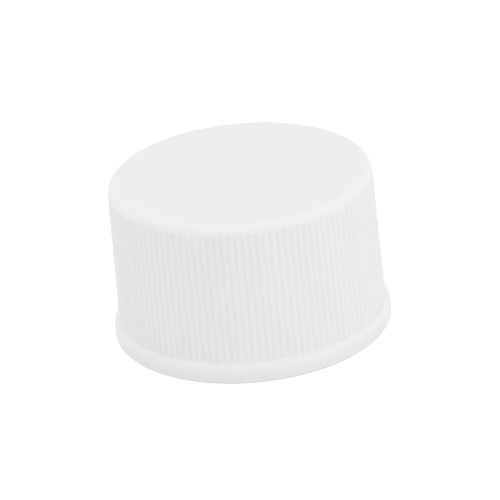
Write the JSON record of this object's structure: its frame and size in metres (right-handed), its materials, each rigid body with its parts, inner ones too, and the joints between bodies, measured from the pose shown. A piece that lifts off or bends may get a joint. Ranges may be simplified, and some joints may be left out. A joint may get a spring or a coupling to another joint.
{
  "type": "septum screw cap",
  "caption": "Closed-top screw cap with fine grip ribs, a base flange and an inner neck thread, holding a silicone septum faced with PTFE.",
  "frame": {"origin": "centre of the open rim, on the plane that the cap stands on", "axes": "+Z along the cap's axis, from the open rim towards the closed top; +X through the lower end of the thread"},
  "size_m": [0.0283, 0.0282, 0.0166],
  "materials": {
    "cap_plastic": "satin moulded white polypropylene",
    "septum_silicone": "matt white silicone",
    "facing_ptfe": "smooth beige PTFE film"
  },
  "bodies": {
    "root": {"cap_shell": "cap_plastic", "septum": "septum_silicone", "septum_facing": "facing_ptfe"}
  },
  "joints": []
}
